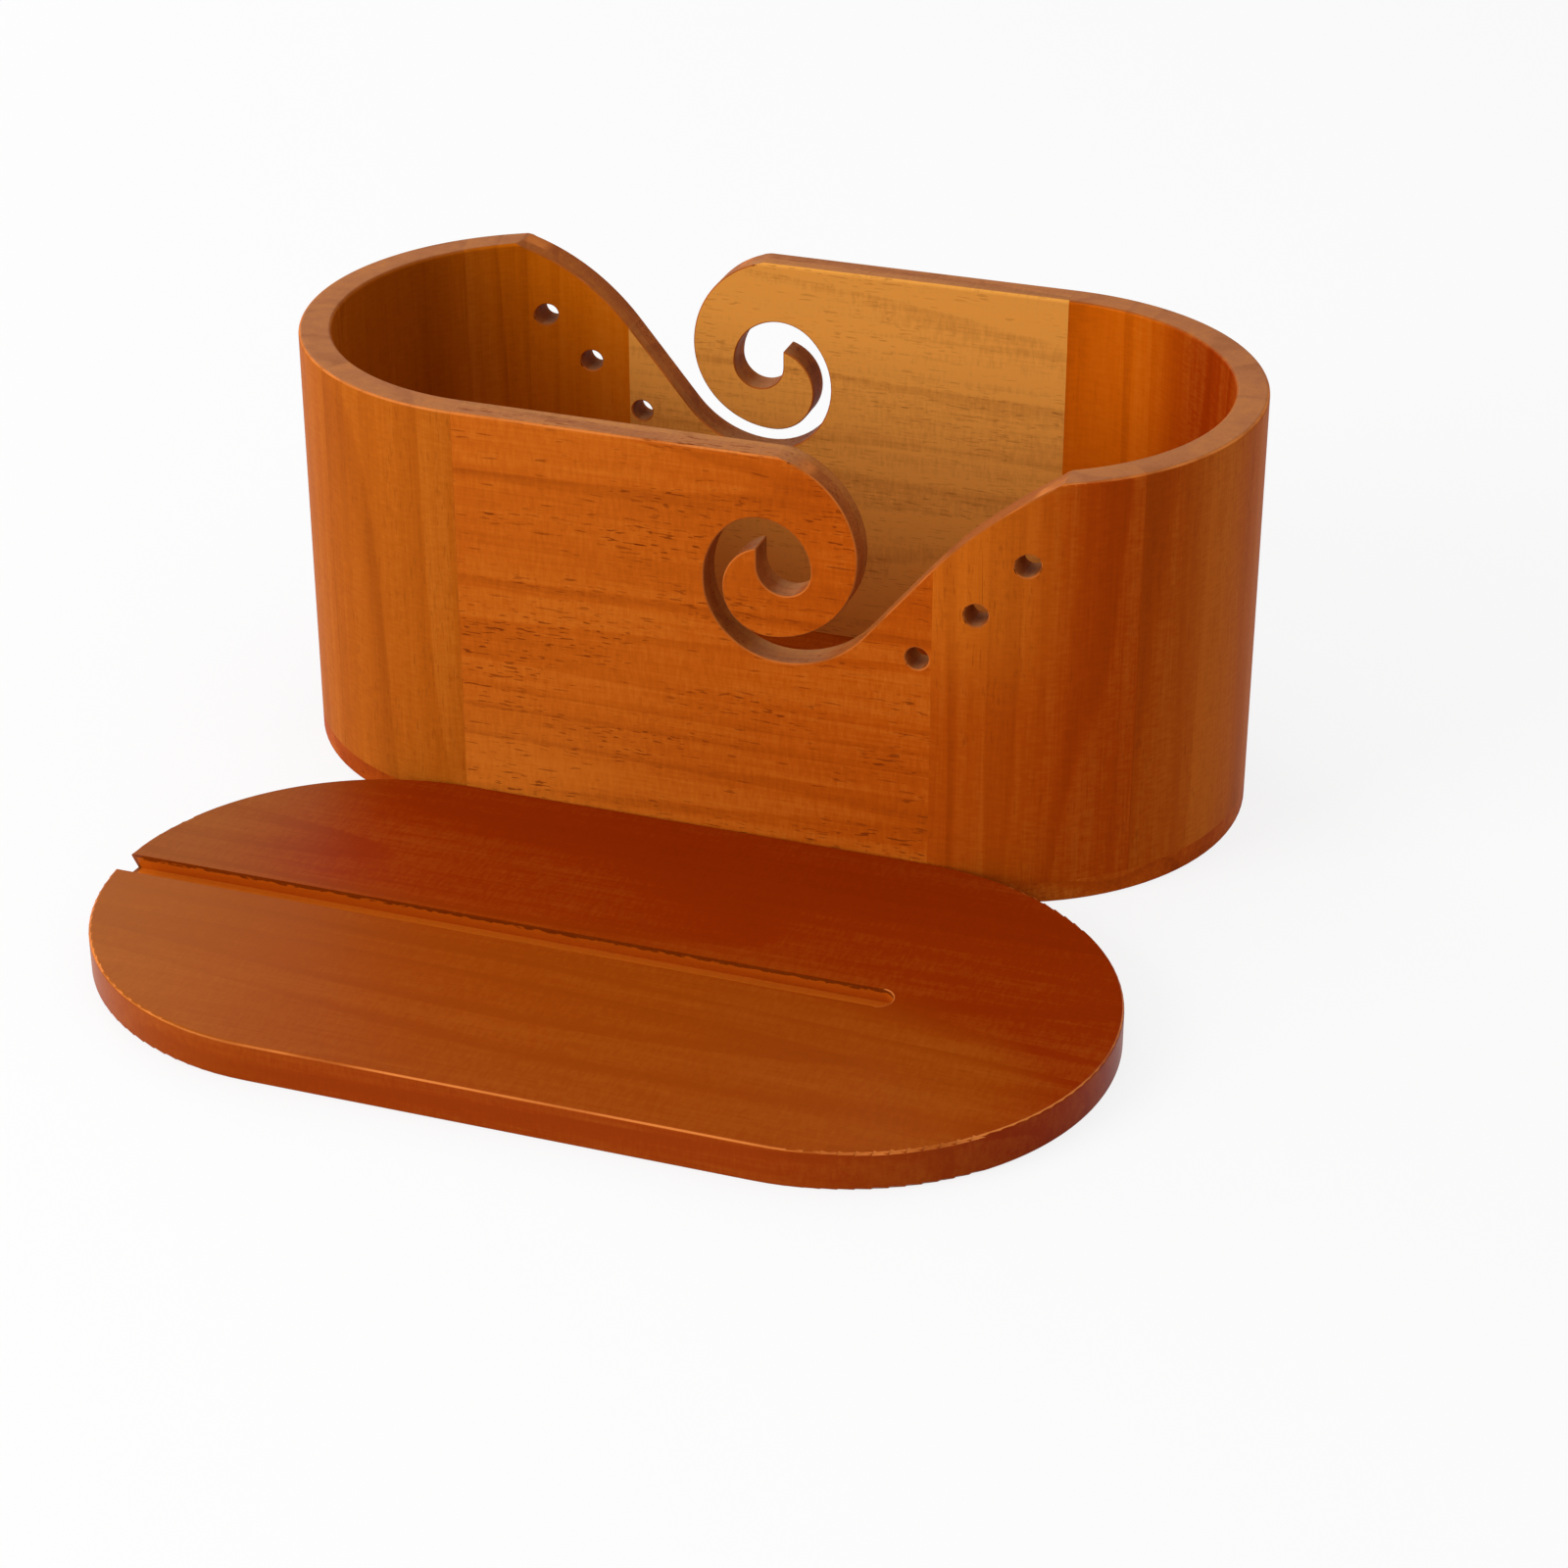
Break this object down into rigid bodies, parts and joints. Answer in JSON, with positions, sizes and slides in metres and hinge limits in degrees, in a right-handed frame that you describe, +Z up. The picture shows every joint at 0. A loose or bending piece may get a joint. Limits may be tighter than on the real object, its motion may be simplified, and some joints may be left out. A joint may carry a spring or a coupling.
{
  "type": "yarn dispenser box",
  "caption": "Oval wooden yarn box with a scroll-shaped yarn guide cut in front and back, round strand holes, and a loose cap with a device groove.",
  "frame": {"origin": "centre of the box's underside, on the table", "axes": "+X along the box to the right, +Y to the back, +Z up; the front faces -Y and the cap lies there"},
  "size_m": [0.302, 0.3086, 0.135],
  "materials": {
    "panel_wood": "satin lacquer",
    "end_wood": "satin lacquer",
    "bottom_wood": "satin lacquer",
    "cap_wood": "satin lacquer"
  },
  "bodies": {
    "box": {"box_bottom": "bottom_wood", "front_panel": "panel_wood", "back_panel": "panel_wood", "right_stave_1": "end_wood", "right_stave_2": "end_wood", "right_stave_3": "end_wood", "right_stave_4": "end_wood", "left_stave_1": "end_wood", "left_stave_2": "end_wood", "left_stave_3": "end_wood", "left_stave_4": "end_wood"},
    "cap": {"cap": "cap_wood"}
  },
  "joints": [
    {"name": "cap_lift", "type": "slide", "parent": "box", "child": "cap", "axis": [0, 0, 1], "range_m": [0, 0.16]}
  ]
}
